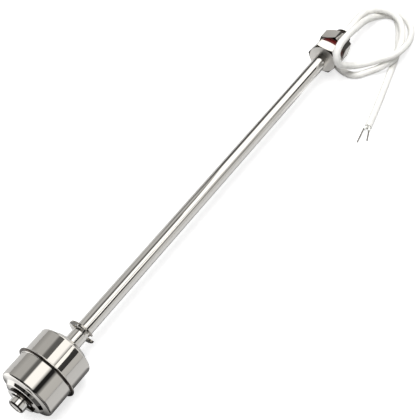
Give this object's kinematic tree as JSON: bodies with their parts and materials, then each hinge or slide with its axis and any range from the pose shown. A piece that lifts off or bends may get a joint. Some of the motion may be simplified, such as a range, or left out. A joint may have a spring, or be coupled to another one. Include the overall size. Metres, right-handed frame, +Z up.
{
  "type": "float level switch",
  "caption": "Stainless steel float level switch: a stem with a sliding cylindrical float between clips, a hex head with a threaded neck, washer and lock nut, and a coiled white cable.",
  "frame": {"origin": "on the surface the switch lies on, under the middle of its length and on its centreline, cable aside", "axes": "+X along the stem from the float's end to the head and cable, +Z up, the cable's loops on the -Y side"},
  "size_m": [0.3391, 0.0634, 0.0312],
  "materials": {
    "stainless_steel": "mirror polished",
    "spring_steel": "satin",
    "red_silicone": "matte",
    "ferrite": "matte",
    "inner_plastic": "matte",
    "reed_glass": "clear",
    "reed_metal": "satin",
    "solder": "satin",
    "wire_insulation": "satin",
    "potting_resin": "matte",
    "cable_sheath": "satin",
    "tinned_copper": "bright"
  },
  "bodies": {
    "stem": {"stem_tube": "stainless_steel", "stem_plug": "stainless_steel", "head_fitting": "stainless_steel", "seal_washer": "red_silicone", "lock_nut": "stainless_steel", "lower_clip": "spring_steel", "upper_clip": "spring_steel", "reed_glass": "reed_glass", "reed_blade_lower": "reed_metal", "reed_blade_upper": "reed_metal", "lead_joint_lower": "solder", "lead_joint_upper": "solder", "reed_sleeve": "inner_plastic", "wire_lower": "wire_insulation", "wire_upper": "wire_insulation", "neck_potting": "potting_resin", "cable_root": "cable_sheath", "cable": "cable_sheath", "core_a": "wire_insulation", "core_b": "wire_insulation", "conductor_a": "tinned_copper", "conductor_b": "tinned_copper"},
    "float": {"float_lower_shell": "stainless_steel", "float_upper_shell": "stainless_steel", "float_core_tube": "stainless_steel", "magnet_ring": "ferrite", "magnet_spacer_lower": "inner_plastic", "magnet_spacer_upper": "inner_plastic"}
  },
  "joints": [
    {"name": "float_slide", "type": "slide", "parent": "stem", "child": "float", "axis": [1, 0, -0.006], "range_m": [0, 0.008]}
  ]
}
